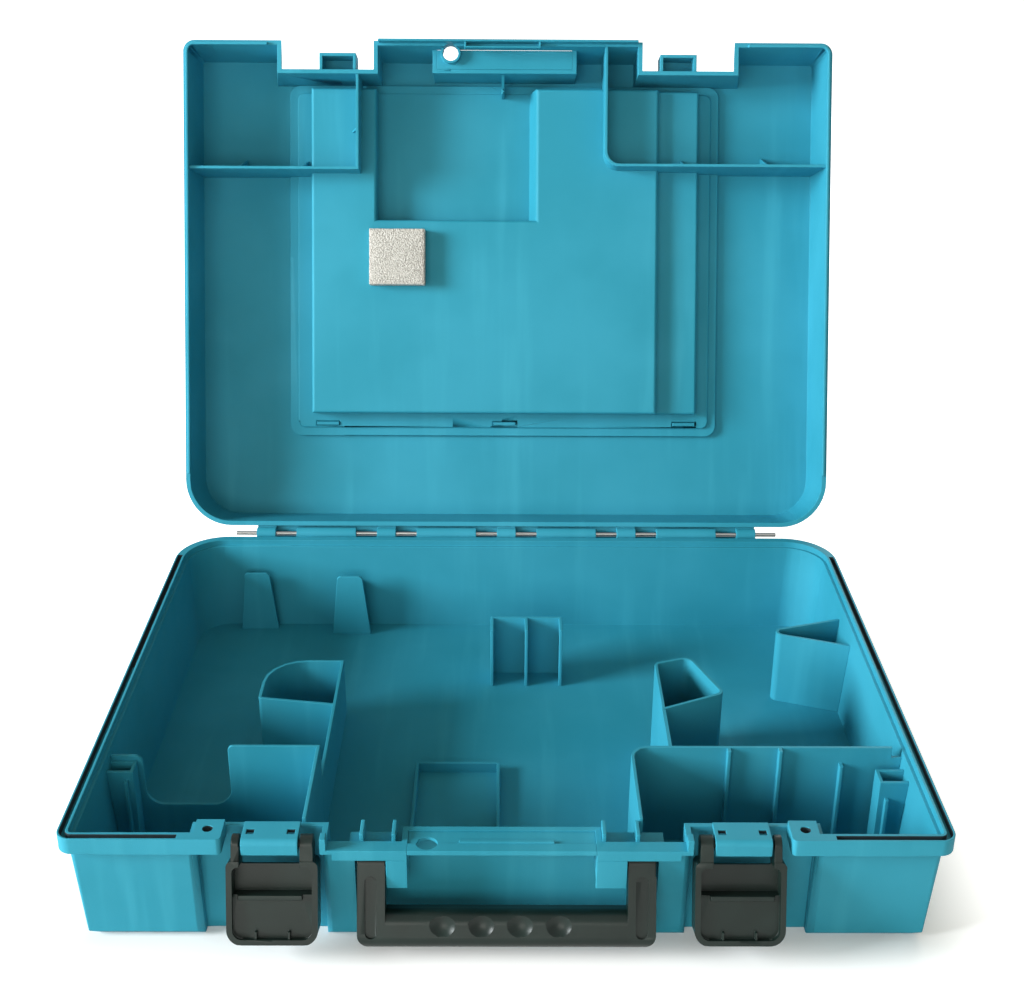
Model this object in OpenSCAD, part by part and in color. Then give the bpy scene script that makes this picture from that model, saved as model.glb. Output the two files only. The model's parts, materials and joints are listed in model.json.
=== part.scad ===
/* [Case] */
// Width over the rim flange
case_w = 460; // [450:1:500]
// Depth over the rim flange, without the hinge
case_d = 344; // [338:1:380]
// Height of the base from its floor to the rim
base_h = 70.5; // [68:0.5:80]
// Height of the lid above the rim
lid_h = 45; // [44:1:60]
// Wall thickness of both mouldings
wall = 3; // [2.4:0.1:3.4]
// Radius of the two corners beside the hinge
rear_corner_r = 33; // [24:1:38]
// Radius of the two front corners
front_corner_r = 8; // [7:1:11]
// How far each wall leans in between the flange and the floor
draft = 4; // [2:0.5:5]
// Radius-like chamfer round the floor and the lid's top
edge = 4; // [2:0.5:5]
// Height of the foot rim that the base stands on
foot_h = 2.5; // [2:0.5:3.5]
// Width of the foot rim
foot_w = 9; // [6:1:16]

/* [Rim] */
// How far the rim flange stands out from the wall
flange_out = 4.5; // [4:0.5:6]
// Height of the flange at the sides
flange_h = 9.5; // [8:0.5:11]
// Width of the groove in the rim
groove_w = 3; // [2.6:0.1:3.2]
// Depth of the groove in the rim
groove_depth = 4; // [3.6:0.2:5]
// Thickness of the lip outside the groove
outer_lip = 1.2; // [1:0.1:1.4]
// Thickness of the lip inside the groove
inner_lip = 1.6; // [1.2:0.1:2]
// Height of the lid's tongue that enters the groove
tongue_h = 3; // [2:0.2:3.2]
// Gap between the closed lid and the base
part_gap = 0.3; // [0.2:0.1:0.4]
// How far the lid stands open at its stop, in degrees
lid_open = 112; // [100:1:120]

/* [Hinge] */
// Diameter of the steel pin
pin_d = 2.8; // [2.4:0.1:3.2]
// Radial play of the pin in its knuckles
pin_play = 0.05; // [0.03:0.01:0.08]
// Outer radius of a knuckle
knuckle_r = 4.2; // [4:0.1:4.6]
// Distance of the pin behind the rim
pin_behind = 5.5; // [5.2:0.1:6.5]
// Width of a knuckle on the base
base_knuckle_w = 42.5; // [38:0.5:46]
// Width of a knuckle on the lid
lid_knuckle_w = 13.5; // [10:0.5:16]
// Open stretch of pin between two knuckles
pin_show = 15; // [12:0.5:17]

/* [Latches] */
// Distance of each latch from the middle of the case
latch_x = 119.7; // [118.7:0.1:120.7]
// Width of a latch
latch_w = 46.8; // [45.8:0.1:48.8]
// Length of a latch from its pivot
latch_len = 52; // [48:1:53]
// Distance of each bracket and keeper loop from the middle
bracket_x = 121; // [120:1:122]
// Width of a bracket
bracket_w = 29; // [27:1:30]
// Width of a keeper loop
loop_w = 26; // [24:1:30]
// Height of a keeper loop
loop_h = 17; // [15:1:19]
// Thickness of a loop's bars
loop_t = 2.2; // [1.8:0.1:2.4]
// Depth of the channel that a latch lies in, in the base
channel_depth = 17; // [16.5:0.5:18]
// Depth of the same channel in the lid
lid_channel_depth = 20; // [19:0.5:20]
// How far the lid's channel widens towards its top
channel_flare = 7; // [4:1:8]
// Rounding of the channel's mouth in the base
mouth_r = 6; // [4:0.5:6.5]
// Diameter of the latch's pivot bar
bar_d = 4; // [3.6:0.2:4.4]
// How far an open latch has turned, in degrees
latch_open = 160; // [140:1:164]

/* [Handle] */
// Width over the two arms
handle_w = 154; // [150:1:155]
// Width of one arm
arm_w = 14.5; // [13:0.5:15]
// Length of the handle from its pivot
handle_len = 44.5; // [40:0.5:45.5]
// Height of the grip
grip_h = 20; // [16:1:21]
// Depth of the grip behind the pivot
grip_back = 13; // [10:1:14]
// Diameter of the pivot pins
handle_pin_d = 6; // [5:0.5:7]
// How far the resting handle leans out, in degrees
handle_lean = 22; // [15:1:26]

/* [Front] */
// Reach of the hand recess left of the middle
hand_left = 51; // [48:0.5:52]
// Reach of the hand recess right of the middle
hand_right = 46; // [44:0.5:51]
// Depth of the hand recess
hand_depth = 17.2; // [16.4:0.1:18]
// How far the middle rim lies below the side rims
ledge_drop = 7; // [6:0.5:8]
// Thickness of the plate over the hand recess
ledge_t = 2; // [1.8:0.1:2.8]
// Diameter of the padlock hole
lock_d = 11; // [8:0.5:12]
// Distance of the padlock hole left of the middle
lock_x = 41; // [34:1:43]
// Diameter of the moulded hole beside each latch
boss_hole_d = 5.4; // [4.5:0.1:6]

/* [Cradles] */
// Thickness of the inner partitions
rib_t = 2; // [1.6:0.1:2.2]
// Distance of the front compartments' rear walls from the hinge side
divide_y = 257.5; // [250:0.5:262]
// Height of the stand with three fins
stand_top = 48.8; // [30:0.1:58]
// Height of the left rear pocket
left_pocket_top = 46.5; // [30:0.5:60]
// Height of the pocket on the right wall
wall_pocket_top = 56; // [30:0.5:60]
// Height of the low frame on the floor
tray_top = 12; // [9:0.5:24]

/* [Lid] */
// Depth of the lid's raised inner block
block_h = 22; // [16:1:24]
// Depth of the lower step beside it
step_h = 14; // [10:1:15]
// Side of the square foam pad
foam_side = 40; // [30:1:50]
// Thickness of the foam pad
foam_t = 10; // [6:1:14]
// Thickness of the outer cover panel
panel_t = 2.4; // [2:0.1:2.6]

/* [Hidden] */
$fn = 48;
eps = 0.01;
teal = [0.13, 0.50, 0.58];
black = [0.10, 0.10, 0.10];
steel = [0.75, 0.75, 0.75];
foam_grey = [0.78, 0.75, 0.72];

// Front, rear and side faces of the rim, and the faces of the body under the flange
front_y = -case_d / 2;
rear_y = case_d / 2;
side_x = case_w / 2;
body_w = case_w - 2 * flange_out;
body_d = case_d - 2 * flange_out;
floor_w = body_w - 2 * draft;
floor_d = body_d - 2 * draft;
slab = 0.1;
floor_z = foot_h + wall;

// Hinge axis
hinge_y = rear_y + pin_behind;
hinge_z = base_h;
knuckle_pitch = base_knuckle_w + lid_knuckle_w + 2 * pin_show;
pin_len = 4 * knuckle_pitch + lid_knuckle_w + 2 * pin_show;
knuckle_reach = 2 * knuckle_pitch + lid_knuckle_w / 2;
hood_out = 3.5;
hood_t = 2;
hood_z = hinge_z + knuckle_r + 0.6;

// Latch channel, bracket and pivot
channel_in = latch_x - latch_w / 2 - 1;
channel_out = channel_in + latch_w + 18;
channel_y = front_y + channel_depth;
latch_y = front_y + 5.5;
latch_z = base_h - 6.5;
face_out = 7;
face_t = 2.5;
side_in = 5.5;
side_t = 3;
shoulder = 2.5;
bracket_top = latch_z + 5.2;
bracket_plate = 2.4;
bracket_lip = 1.9;
bracket_drop = 3.5;
lug_w = 5;
hole_side = 4;
bar_play = 0.08;
loop_low = 2;
loop_out = 12;
loop_top = base_h + part_gap + loop_low + loop_h;
hook_u = loop_top - latch_z + part_gap;
hook_t = 2.6;
hook_in = 4;
hook_w = loop_w + 7;

// Handle pivot and hand recess
ledge_z = base_h - ledge_drop;
middle_half = channel_in - wall;
window_top = ledge_z - 6.3;
handle_y = front_y + 7;
handle_z = window_top - 6.2;
arm_r = 5.5;
arm_out = handle_w / 2;
window_out = arm_out + 1.5;
mount_out = arm_out - arm_w - 0.6;
tab_low = handle_z - 11.2;
tab_t = 2.5;
hand_y = front_y + hand_depth;
lock_y = front_y + 1.4 + lock_d / 2;
lid_channel_y = front_y + lid_channel_depth;
plate_drop = 0.8;
rim_strip = 6.5;
handle_play = 0.06;

// Lid levels, in the closed position
rim_z = base_h + part_gap;
lid_top = rim_z + lid_h;
lid_floor = lid_top - wall;
lid_taper = 3;
hand_plate_z = rim_z + 10;
plate_t = 2.8;
skin = 2.5;
frame_z = lid_floor - 6;
block_z = lid_floor - block_h;
step_z = lid_floor - step_h;
frame_x0 = 70 - side_x;
frame_x1 = side_x - 75;
frame_y0 = lid_channel_y + wall;
frame_step = 6;
frame_low_z = frame_z + 2.2;
frame_y1 = hinge_y - 70;
block_x0 = frame_x0 + 18;
block_x1 = frame_x1 - 46;
step_x1 = frame_x1 - 16;
block_y0 = frame_y0 + 5.5;
block_y1 = frame_y1 - 16.5;
rebate_z = frame_low_z + 2.6;
pocket_x0 = block_x0 + 47;
pocket_x1 = pocket_x0 + 111;
pocket_y1 = block_y0 + 94.5;
pocket_z = frame_z + 1.7;
pocket_slope = 5;
clip_xs = [frame_x0 + 28, -1.6, frame_x1 - 24];
clip_w = 17;
clip_t = 3.2;
clip_y = frame_y1 - 9;
foam_x = pocket_x0 + 15.5;
foam_y = pocket_y1 + 27.5;
divider_y = hinge_y - divide_y - 2;
gusset_reach = 11;
left_wall_x = 125.7 - side_x;
right_wall_x = side_x - 161.1;
left_divider_x = left_wall_x - 1.7;
right_divider_x = right_wall_x;
divider_r = 11;

// Inner furniture of the base
inside_top = base_h - 1.5;
wall_y = hinge_y - divide_y - 5.5;
post_top = inside_top - 9.5;

// Rectangle with rounded corners, of one radius at the front and another at the rear
module case_plan(w, d, front_r, rear_r) {
    translate([-w / 2, -d / 2 + front_r]) square([w, d - front_r - rear_r]);
    translate([-w / 2 + front_r, -d / 2]) square([w - 2 * front_r, front_r + eps]);
    translate([-w / 2 + rear_r, d / 2 - rear_r - eps]) square([w - 2 * rear_r, rear_r + eps]);
    for (side = [-1, 1]) {
        translate([side * (w / 2 - front_r), -d / 2 + front_r]) circle(r = front_r);
        translate([side * (w / 2 - rear_r), d / 2 - rear_r]) circle(r = rear_r);
    }
}

// The case outline drawn in by a distance on every side
module plan_inset(inset) {
    case_plan(case_w - 2 * inset, case_d - 2 * inset, max(front_corner_r - inset, 1), rear_corner_r - inset);
}

module plan_slab(inset, z) {
    translate([0, 0, z]) linear_extrude(slab) plan_inset(inset);
}

module box(x0, x1, y0, y1, z0, z1) {
    translate([x0, y0, z0]) cube([x1 - x0, y1 - y0, z1 - z0]);
}

module round_box(x0, x1, y0, y1, z0, z1, r) {
    translate([0, 0, z0]) linear_extrude(z1 - z0) {
        translate([x0 + r, y0]) square([x1 - x0 - 2 * r, y1 - y0]);
        translate([x0, y0 + r]) square([x1 - x0, y1 - y0 - 2 * r]);
        for (x = [x0 + r, x1 - r], y = [y0 + r, y1 - r]) translate([x, y]) circle(r = r);
    }
}

module mirrored_pair() {
    children();
    mirror([1, 0, 0]) children();
}

// Hollow of the base, which leans in towards its floor
module base_cavity() {
    hull() {
        plan_slab(flange_out + draft + wall, floor_z);
        plan_slab(flange_out + wall, base_h + wall);
    }
}

// The parts of the front wall that stand in the base's hollow
module front_intrusions(grow) {
    mirrored_pair() {
        box(channel_in - grow, channel_out + grow, front_y - wall, channel_y + grow, -wall, base_h + 2 * wall);
        box(-eps, window_out + grow, front_y - wall, hand_y + grow, -wall, window_top + grow);
    }
    box(-hand_left - grow, hand_right + grow, front_y - wall, hand_y + grow, -wall, ledge_z + grow * eps);
}

// Cutter that rounds the corner between a channel's side and the leaning front wall
module channel_mouth(edge_x, side) {
    mid_x = edge_x + side * mouth_r;
    face_y = front_y + flange_out;
    top = base_h - flange_h;
    difference() {
        box(min(edge_x - side * eps, mid_x), max(edge_x - side * eps, mid_x), front_y - wall,
            face_y + draft + mouth_r, -wall, top);
        hull() {
            translate([mid_x, face_y + draft + mouth_r, -wall - 1]) cylinder(h = slab, r = mouth_r);
            translate([mid_x, face_y + mouth_r, top + 1]) cylinder(h = slab, r = mouth_r);
        }
        box(mid_x - case_w, mid_x + case_w, face_y + draft + mouth_r, 0, -wall, top);
    }
}

module rim_ring(inset, w, z0, h, end_x, back_y) {
    mirrored_pair() intersection() {
        translate([0, 0, z0]) linear_extrude(h) difference() {
            plan_inset(inset);
            plan_inset(inset + w);
        }
        box(end_x, case_w, -case_d, back_y, z0 - wall, z0 + h + wall);
    }
}

module base_shell() {
    groove_end = channel_out + 8;
    groove_back = rear_y - rear_corner_r + 4;
    color(teal) {
        difference() {
            union() {
                hull() {
                    plan_slab(flange_out + draft + edge, 0);
                    plan_slab(flange_out + draft, edge);
                    plan_slab(flange_out, base_h - slab);
                }
                translate([0, 0, base_h - flange_h]) linear_extrude(flange_h) plan_inset(0);
                intersection() {
                    translate([0, 0, window_top]) linear_extrude(ledge_z - window_top) plan_inset(0);
                    box(-channel_in, channel_in, -case_d, hand_y, 0, base_h);
                }
            }
            difference() {
                base_cavity();
                front_intrusions(wall);
            }
            translate([0, 0, base_h - groove_depth]) linear_extrude(groove_depth + wall) difference() {
                plan_inset(outer_lip + groove_w + inner_lip);
                translate([-case_w / 2, -case_d]) square([case_w, case_d + channel_y + wall - case_d / 2]);
            }
            front_intrusions(0);
            mirrored_pair() round_box(foot_w, floor_w / 2 - edge - foot_w, channel_y + wall + foot_w,
                                      floor_d / 2 - edge - foot_w, -1, foot_h, rear_corner_r / 2);
            mirrored_pair() {
                channel_mouth(channel_out, 1);
                channel_mouth(channel_in, -1);
            }
            rim_ring(outer_lip, groove_w, base_h - groove_depth, groove_depth + wall, groove_end, groove_back);
            box(-middle_half, middle_half, -case_d, channel_y + wall - eps, ledge_z, base_h + wall);
        }
        mirrored_pair() difference() {
            box(latch_x + latch_w / 2 + 2.5, channel_out, front_y + 1, channel_y, base_h - flange_h, base_h);
            translate([channel_out - 6.8, channel_y - 8, base_h - flange_h - wall])
                cylinder(h = flange_h + 2 * wall, d = boss_hole_d);
        }
    }
}

module hand_ledge() {
    ridge_half = 24.5;
    plate_z = ledge_z - plate_drop;
    color(teal) difference() {
        union() {
            box(-hand_left, hand_right, front_y, hand_y, plate_z - ledge_t, plate_z);
            box(-hand_left, hand_right, front_y, front_y + rim_strip, plate_z, ledge_z);
            box(-ridge_half, ridge_half, front_y + rim_strip, front_y + rim_strip + 2, plate_z, ledge_z + 0.8);
        }
        translate([-lock_x, lock_y, plate_z - 2 * ledge_t]) cylinder(h = 4 * ledge_t, d = lock_d);
    }
}

// Front tab and bearing block on one side of the hand recess
module handle_mount(inner) {
    color(teal) difference() {
        union() {
            box(inner, mount_out, front_y, front_y + tab_t, tab_low, window_top);
            box(inner, mount_out, front_y + tab_t, hand_y, handle_z - 7, window_top);
        }
        translate([0, handle_y, handle_z]) rotate([0, 90, 0])
            cylinder(h = case_w / 2, d = handle_pin_d + 2 * handle_play);
    }
}

// Folded plate over the latch's pivot bar, with two lugs that hold the bar
module latch_bracket() {
    x0 = bracket_x - bracket_w / 2;
    x1 = bracket_x + bracket_w / 2;
    fold_r = 3;
    color(teal) difference() {
        union() {
            box(x0, x1, front_y + fold_r, channel_y, bracket_top - bracket_plate, bracket_top);
            box(x0, x1, front_y, front_y + bracket_lip, latch_z - bracket_drop, bracket_top - fold_r);
            intersection() {
                translate([x0, front_y + fold_r, bracket_top - fold_r]) rotate([0, 90, 0])
                    cylinder(h = bracket_w, r = fold_r);
                box(x0, x1, front_y, front_y + fold_r, bracket_top - fold_r, bracket_top);
            }
            for (x = [x0, x1 - lug_w])
                box(x, x + lug_w, front_y + bracket_lip, latch_y + 4, latch_z - bracket_drop, bracket_top - bracket_plate);
        }
        translate([x0 - 1, latch_y, latch_z]) rotate([0, 90, 0]) cylinder(h = bracket_w + 2, d = bar_d + 2 * bar_play);
        for (x = [x0 + 2, x1 - 2 - hole_side])
            box(x, x + hole_side, latch_y + 1, latch_y + 1 + hole_side, bracket_top - bracket_plate - 0.2, bracket_top + 1);
    }
}

module knuckle_tube(x, w) {
    translate([x - w / 2, hinge_y, hinge_z]) rotate([0, 90, 0]) cylinder(h = w, r = knuckle_r);
}

module pin_bore(play) {
    translate([-pin_len / 2 - 1, hinge_y, hinge_z]) rotate([0, 90, 0]) cylinder(h = pin_len + 2, d = pin_d + 2 * play);
}

module base_hinge_knuckles() {
    web = 3;
    color(teal) difference() {
        union() for (i = [-1.5 : 1 : 1.5]) {
            knuckle_tube(i * knuckle_pitch, base_knuckle_w);
            box(i * knuckle_pitch - base_knuckle_w / 2, i * knuckle_pitch + base_knuckle_w / 2,
                rear_y, hinge_y, hinge_z - knuckle_r, hinge_z - knuckle_r + web);
        }
        pin_bore(pin_play);
    }
}

module hinge_pin() {
    color(steel) translate([-pin_len / 2, hinge_y, hinge_z]) rotate([0, 90, 0]) cylinder(h = pin_len, d = pin_d);
}

// Rear wall of the left front compartment with its U shaped rest, and the wall beside it
module left_cradle() {
    x0 = -side_x;
    x1 = left_wall_x;
    rest_x0 = x0 + 26;
    rest_x1 = x0 + 74;
    rest_z = floor_z + 24;
    rest_r = 10;
    post_z = inside_top - 6.5;
    color(teal) {
        intersection() {
            base_cavity();
            difference() {
                box(x0, x1, wall_y - rib_t, wall_y, floor_z, inside_top);
                translate([0, wall_y + rib_t, 0]) rotate([90, 0, 0]) linear_extrude(3 * rib_t) {
                    translate([rest_x0 + rest_r, rest_z]) square([rest_x1 - rest_x0 - 2 * rest_r, base_h]);
                    translate([rest_x0, rest_z + rest_r]) square([rest_x1 - rest_x0, base_h]);
                    for (x = [rest_x0 + rest_r, rest_x1 - rest_r]) translate([x, rest_z + rest_r]) circle(r = rest_r);
                    translate([x0, post_z]) square([rest_x0 - x0 + eps, base_h]);
                }
            }
        }
        box(x1 - rib_t, x1, channel_y + wall, wall_y - rib_t, floor_z, inside_top);
    }
}

module corner_post(x0, y0, y1, rib_x, rib_top) {
    color(teal) intersection() {
        base_cavity();
        union() {
            difference() {
                box(x0, side_x, y0, y1, floor_z, post_top);
                box(x0 + rib_t, side_x, y0 + rib_t, y1 - rib_t, floor_z + rib_t, post_top + 1);
            }
            box(rib_x, rib_x + rib_t, y0 - 3, y0, floor_z, rib_top);
        }
    }
}

module left_post() {
    mirror([1, 0, 0]) corner_post(side_x - 23, wall_y - rib_t - 11.5, wall_y - rib_t, side_x - 20, post_top - 5);
}

module right_post() {
    corner_post(side_x - 24.3, wall_y - rib_t - 19.5, wall_y - rib_t - 6.5, side_x - 21, post_top - 10);
}

// Round cornered wall outline: each corner takes an arc of its own radius
function arc_corner(before, at, after, r, steps) =
    let (
        a = (before - at) / norm(before - at),
        b = (after - at) / norm(after - at),
        half = acos(a * b) / 2,
        reach = r / tan(half),
        mid = (a + b) / norm(a + b),
        centre = at + mid * (r / sin(half)),
        start = at + a * reach - centre,
        finish = at + b * reach - centre,
        from = atan2(start[1], start[0]),
        turn0 = atan2(finish[1], finish[0]) - from,
        turn = turn0 > 180 ? turn0 - 360 : turn0 < -180 ? turn0 + 360 : turn0
    )
    [for (k = [0 : steps]) centre + r * [cos(from + turn * k / steps), sin(from + turn * k / steps)]];

function round_outline(corners, radii) =
    let (n = len(corners))
    [for (i = [0 : n - 1])
        each arc_corner(corners[(i + n - 1) % n], corners[i], corners[(i + 1) % n], radii[i], 5)];

// Thin upright wall that follows a closed outline
module outline_wall(corners, radii, top) {
    translate([0, 0, floor_z]) linear_extrude(top - floor_z) difference() {
        polygon(round_outline(corners, radii));
        offset(delta = -rib_t) polygon(round_outline(corners, radii));
    }
}

module left_rear_pocket() {
    right_x = left_wall_x;
    left_x = right_x - 48.7;
    rear = wall_y + 127.9;
    corners = [[left_x, wall_y + 82.5], [right_x, wall_y + 75.1], [right_x, rear], [left_x, rear]];
    color(teal) {
        outline_wall(corners, [3, 0.5, 0.5, 26], left_pocket_top);
        box(right_x - rib_t, right_x, wall_y, wall_y + 75.5, floor_z, left_pocket_top);
    }
}

// Upright plate in front of the rear wall, narrower at the top, with a web that ties it to the wall
module rear_tab(x, low_w, top_w, front, top) {
    corner_r = 3;
    color(teal) intersection() {
        base_cavity();
        union() {
            translate([x, front + rib_t, 0]) rotate([90, 0, 0]) linear_extrude(rib_t) {
                polygon([[-low_w / 2, floor_z], [low_w / 2, floor_z], [top_w / 2, top - corner_r],
                         [-top_w / 2, top - corner_r]]);
                translate([corner_r - top_w / 2, top - 2 * corner_r]) square([top_w - 2 * corner_r, 2 * corner_r]);
                for (side = [-1, 1]) translate([side * (top_w / 2 - corner_r), top - corner_r]) circle(r = corner_r);
            }
            box(x - rib_t / 2, x + rib_t / 2, front, rear_y, floor_z, top - 8);
        }
    }
}

module rear_tab_outer() {
    rear_tab(53 - side_x, 26.7, 18, rear_y - 19.3, base_h - 19.8);
}

module rear_tab_inner() {
    rear_tab(119.5 - side_x, 27.2, 18, rear_y - 26, base_h - 18.7);
}

module rib_stand() {
    x0 = -10.5;
    x1 = 37.5;
    front = rear_y - 95;
    back = front + 19;
    color(teal) {
        box(x0, x1, back - rib_t, back, floor_z, stand_top);
        for (x = [x0, (x0 + x1 - rib_t) / 2, x1 - rib_t])
            box(x, x + rib_t, front, back - rib_t, floor_z, stand_top);
    }
}

module right_pocket() {
    left_x = side_x - 139;
    front = wall_y + 38.7;
    corners = [[left_x, front + 53], [left_x + 22.9, front + 60.8], [left_x + 39.5, front + 18.4], [left_x, front]];
    top = inside_top - 1.5;
    color(teal) {
        outline_wall(corners, [5, 7, 5, 0.5], top);
        box(left_x, left_x + rib_t, wall_y, front + 0.3, floor_z, top);
    }
}

module right_compartment() {
    left_x = right_wall_x;
    corner_r = 11;
    right_x = side_x;
    step_x = right_x - 14;
    step_z = inside_top - 6.5;
    color(teal) intersection() {
        base_cavity();
        union() {
            difference() {
                box(left_x + corner_r, right_x, wall_y - rib_t, wall_y, floor_z, inside_top);
                box(step_x, right_x, wall_y - 2 * rib_t, wall_y + rib_t, step_z, base_h);
            }
            box(left_x, left_x + rib_t, hand_y + wall, wall_y - corner_r, floor_z, inside_top);
            translate([left_x + corner_r, wall_y - corner_r, floor_z]) intersection() {
                difference() {
                    cylinder(h = inside_top - floor_z, r = corner_r);
                    translate([0, 0, -1]) cylinder(h = inside_top, r = corner_r - rib_t);
                }
                translate([-corner_r, 0, 0]) cube([corner_r, corner_r, inside_top]);
            }
            for (x = [right_x - 106.7, right_x - 78])
                box(x, x + rib_t, wall_y - rib_t - 4, wall_y - rib_t, floor_z, inside_top);
            box(right_x - 43.3, right_x - 43.3 + rib_t, wall_y - rib_t - 4, wall_y - rib_t, floor_z, inside_top - 10);
        }
    }
}

// V shaped pocket that stands against the right wall
module wall_pocket() {
    tip = [side_x - 64.5, rear_y - 107.5];
    reach = side_x + 20;
    spread = 26;
    corners = [tip, [reach, tip[1] + spread], [reach, tip[1] - spread - 3]];
    color(teal) intersection() {
        base_cavity();
        outline_wall(corners, [5, 1, 1], wall_pocket_top);
    }
}

module tray_frame() {
    x0 = -55.5;
    x1 = -3.8;
    back = wall_y + 65.5;
    color(teal) difference() {
        box(x0, x1, hand_y + wall, back, floor_z, tray_top);
        box(x0 + rib_t, x1 - rib_t, hand_y, back - rib_t, 0, tray_top + 1);
    }
}

// Short fins on the roof over each arm of the handle
module front_ribs() {
    color(teal) intersection() {
        base_cavity();
        for (x = [2.4 - arm_out, 18.9 - arm_out, hand_right + wall + rib_t / 2 + 0.2, arm_out - 9.4])
            box(x - rib_t / 2, x + rib_t / 2, front_y, hand_y + wall, window_top + wall, base_h - 2.5);
    }
}

// Turns the closed lid to its open rest position
module opened_lid() {
    translate([0, hinge_y, hinge_z]) rotate([-lid_open, 0, 0]) translate([0, -hinge_y, -hinge_z]) children();
}

module lid_cavity() {
    hull() {
        plan_slab(wall, rim_z - wall);
        plan_slab(wall + lid_taper, lid_floor - slab);
    }
}

module lid_intrusions(grow) {
    mirrored_pair() translate([0, lid_channel_y + grow, 0]) rotate([90, 0, 0])
        linear_extrude(lid_channel_depth + wall + grow)
            polygon([[channel_in - grow, rim_z - wall], [channel_out + grow, rim_z - wall],
                     [channel_out + grow + channel_flare, lid_top + wall], [channel_in - grow, lid_top + wall]]);
    box(-hand_left - grow, hand_right + grow, front_y - wall, hand_y + grow, hand_plate_z, lid_top + wall);
}

module lock_bore(z0, z1) {
    translate([-lock_x, lock_y, z0]) cylinder(h = z1 - z0, d = lock_d);
}

module lid_shell() {
    tongue_side = 0.45;
    tongue_back = rear_y - rear_corner_r - 4;
    skirt_t = 1.6;
    strip_x0 = -31;
    strip_x1 = 23;
    strip_y = front_y + 4.6;
    color(teal) opened_lid() difference() {
        union() {
            difference() {
                hull() {
                    plan_slab(0, rim_z);
                    plan_slab(lid_taper - 0.5, lid_top - edge);
                    plan_slab(lid_taper + 1, lid_top - edge / 4);
                    plan_slab(lid_taper + edge, lid_top - slab);
                }
                difference() {
                    lid_cavity();
                    lid_intrusions(wall);
                }
                lid_intrusions(0);
                round_box(frame_x0, frame_x1, frame_y0, frame_y1, frame_z, lid_top + wall, 8);
            }
            rim_ring(outer_lip + tongue_side, groove_w - 2 * tongue_side, rim_z - tongue_h, tongue_h,
                     channel_out + 10, tongue_back);
            box(-middle_half + 0.5, middle_half - 0.5, front_y, front_y + skirt_t, ledge_z + part_gap, rim_z);
            box(strip_x0, strip_x1, strip_y, strip_y + 1.2, ledge_z + 1 + part_gap, rim_z);
            for (x = [strip_x0, strip_x1 - 1.4])
                box(x, x + 1.4, front_y + skirt_t, strip_y + 1.2, ledge_z + 1 + part_gap, rim_z);
            box(-knuckle_reach, knuckle_reach, rear_y - 1.5, hinge_y + hood_out, hood_z, hood_z + hood_t);
        }
        lock_bore(rim_z, hand_plate_z + 2 * plate_t);
    }
}

// Pocket in the raised block, with one sloping side
module block_pocket(grow, front, z0) {
    translate([0, pocket_y1 + grow, 0]) rotate([90, 0, 0]) linear_extrude(pocket_y1 + grow - front)
        polygon([[pocket_x0 - grow, z0], [pocket_x1 + pocket_slope + grow, z0], [pocket_x1 + grow, pocket_z + grow],
                 [pocket_x0 - grow, pocket_z + grow]]);
}

// Rounded slab inside the frame's outline
module frame_inset(inset, z0, z1) {
    round_box(frame_x0 + inset, frame_x1 - inset, frame_y0 + inset, frame_y1 - inset, z0, z1, 8 - inset / 2);
}

// Stepped frame and raised block, hollow towards the outside of the lid
module lid_block() {
    color(teal) opened_lid() difference() {
        union() {
            round_box(frame_x0, frame_x1, frame_y0, frame_y1, frame_low_z, lid_top, 8);
            frame_inset(frame_step, frame_z, lid_top);
            box(block_x0, block_x1, block_y0, block_y1, block_z, frame_z);
            box(block_x1, step_x1, block_y0, block_y1, step_z, frame_z);
            translate([-4.7, 0, 0]) rotate([90, 0, 90]) linear_extrude(rib_t)
                polygon([[hand_y + wall, block_z - 4], [hand_y + wall, frame_low_z + 1],
                         [block_y0 + 4, frame_low_z + 1], [block_y0 + 3, block_z + 11]]);
        }
        difference() {
            union() {
                frame_inset(skin, rebate_z, lid_top + 1);
                frame_inset(frame_step + skin, frame_z + 2.7, lid_top);
                box(block_x0 + skin, block_x1 - skin, block_y0 + skin, block_y1 - skin, block_z + skin, lid_top);
                box(block_x1 - skin - eps, step_x1 - skin, block_y0 + skin, block_y1 - skin, step_z + skin, lid_top);
            }
            block_pocket(skin, block_y0 - 0.5, block_z);
        }
        difference() {
            block_pocket(0, block_y0 - eps, block_z - 1);
            box(-4.7, -4.7 + rib_t, block_y0 - 1, block_y0 + 4, block_z, pocket_z);
        }
        for (x = clip_xs)
            box(x - clip_w / 2, x + clip_w / 2, clip_y - clip_t / 2, clip_y + clip_t / 2, frame_z - 1, rebate_z + 1);
    }
}

// Plate that closes the lid's hand recess towards the inside, with the padlock boss
module lid_lock_plate() {
    boss_wall = 1.7;
    boss_h = 5;
    color(teal) opened_lid() difference() {
        intersection() {
            lid_cavity();
            union() {
                box(-hand_left, hand_right, front_y, hand_y, hand_plate_z, hand_plate_z + plate_t);
                translate([-lock_x, lock_y, hand_plate_z - boss_h])
                    cylinder(h = boss_h, d = lock_d + 2 * boss_wall);
            }
        }
        lock_bore(hand_plate_z - 2 * boss_h, hand_plate_z + 2 * plate_t);
    }
}

// The solids that a divider stands on
module divider_room() {
    difference() {
        lid_cavity();
        round_box(frame_x0, frame_x1, frame_y0, frame_y1, frame_z, lid_top + 1, 8);
        box(block_x0, block_x1, block_y0, block_y1, block_z, lid_top);
        box(block_x1 - eps, step_x1, block_y0, block_y1, step_z, lid_top);
    }
}

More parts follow.
